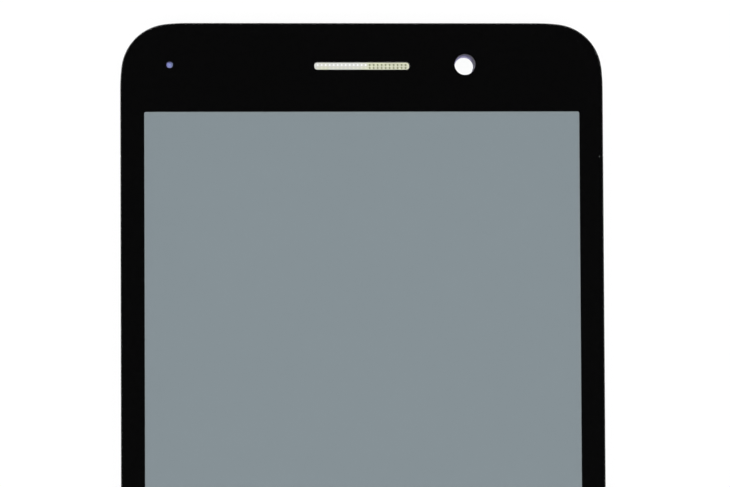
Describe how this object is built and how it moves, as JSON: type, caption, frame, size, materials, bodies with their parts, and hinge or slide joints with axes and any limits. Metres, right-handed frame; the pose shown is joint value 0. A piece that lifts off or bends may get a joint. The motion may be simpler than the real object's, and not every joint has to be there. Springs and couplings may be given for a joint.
{
  "type": "phone lcd screen assembly",
  "caption": "Flat phone display with black-bordered cover glass, touch sensor, liquid crystal cell, edge-lit backlight and folded flexes with board plugs.",
  "frame": {"origin": "below the middle of the cover glass, level with the lowest face, which is the mouth of the board plugs", "axes": "+X to the right seen from the front, +Y towards the phone's top, +Z out of the front of the glass"},
  "size_m": [0.069, 0.1392, 0.0038],
  "materials": {
    "clear_glass": "polished, clear",
    "black_print": "dense black screen print seen through glass",
    "black_adhesive": "matt black foam tape",
    "optical_adhesive": "clear",
    "sensor_film": "clear film",
    "polarizer": "blue-grey film, hard coat",
    "cell_glass": "clear, cut edges",
    "bare_silicon": "dark, polished",
    "black_tape": "matt black",
    "light_film": "silvery film",
    "diffuser": "milky film",
    "clear_acrylic": "clear, polished",
    "reflector": "bright white film",
    "white_moulding": "white moulded plastic",
    "tray_steel": "thin rolled stainless steel",
    "amber_flex": "amber polyimide over copper",
    "lamp_housing": "white housing",
    "stiffener": "thin steel plate",
    "connector_moulding": "black moulded plastic",
    "gold_contact": "gold plated",
    "chip_package": "black moulded package",
    "ceramic_part": "tan ceramic with tinned ends",
    "mesh_metal": "pale coated sheet",
    "black_foam": "fine black foam",
    "dust_felt": "thin olive felt",
    "lilac_rubber": "soft lilac grey",
    "lilac_acrylic": "milky lilac"
  },
  "bodies": {
    "root": {"cover_glass": "clear_glass", "border_ink": "black_print", "frame_adhesive": "black_adhesive", "upper_optical_adhesive": "optical_adhesive", "touch_sensor_film": "sensor_film", "lower_optical_adhesive": "optical_adhesive", "front_polarizer": "polarizer", "color_filter_glass": "cell_glass", "tft_glass": "cell_glass", "rear_polarizer": "polarizer", "driver_chip": "bare_silicon", "light_shield_tape": "black_tape", "upper_prism_film": "light_film", "lower_prism_film": "light_film", "diffuser_film": "diffuser", "light_guide_plate": "clear_acrylic", "reflector_film": "reflector", "backlight_frame": "white_moulding", "backlight_tray": "tray_steel", "led_flex": "amber_flex", "leds": "lamp_housing", "display_flex": "amber_flex", "display_flex_tape": "black_tape", "display_stiffener": "stiffener", "display_connector": "connector_moulding", "display_connector_contacts": "gold_contact", "touch_flex": "amber_flex", "touch_flex_tape": "black_tape", "touch_stiffener": "stiffener", "touch_connector": "connector_moulding", "touch_connector_contacts": "gold_contact", "touch_controller_chip": "chip_package", "flex_components": "ceramic_part", "earpiece_mesh": "mesh_metal", "earpiece_gasket": "black_foam", "earpiece_felt": "dust_felt", "camera_gasket": "lilac_rubber", "indicator_light_guide": "lilac_acrylic"}
  },
  "joints": []
}
